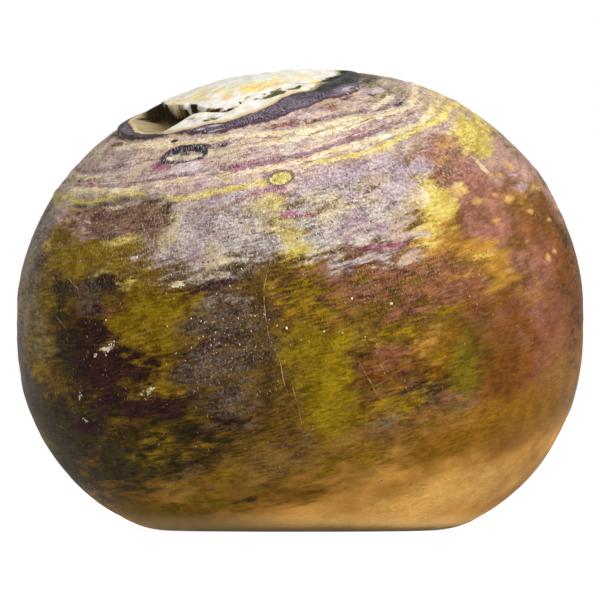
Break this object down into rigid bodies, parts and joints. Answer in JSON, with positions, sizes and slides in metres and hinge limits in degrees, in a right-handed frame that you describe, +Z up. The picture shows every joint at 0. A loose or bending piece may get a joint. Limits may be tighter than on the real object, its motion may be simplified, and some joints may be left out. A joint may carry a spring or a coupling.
{
  "type": "rutabaga root",
  "caption": "Whole waxed rutabaga: a squat round root with ringed leaf scars, a broken-off crown leaning to one side and a small flat base that it stands on.",
  "frame": {"origin": "middle of the flat base, under the root's widest extent", "axes": "+Z up from the flat base, +X to the right of the front side, which faces -Y; the crown leans towards -X and a little towards -Y"},
  "size_m": [0.1302, 0.1238, 0.106],
  "materials": {
    "waxed_skin": null
  },
  "bodies": {
    "root": {"rutabaga_root": "waxed_skin"}
  },
  "joints": []
}
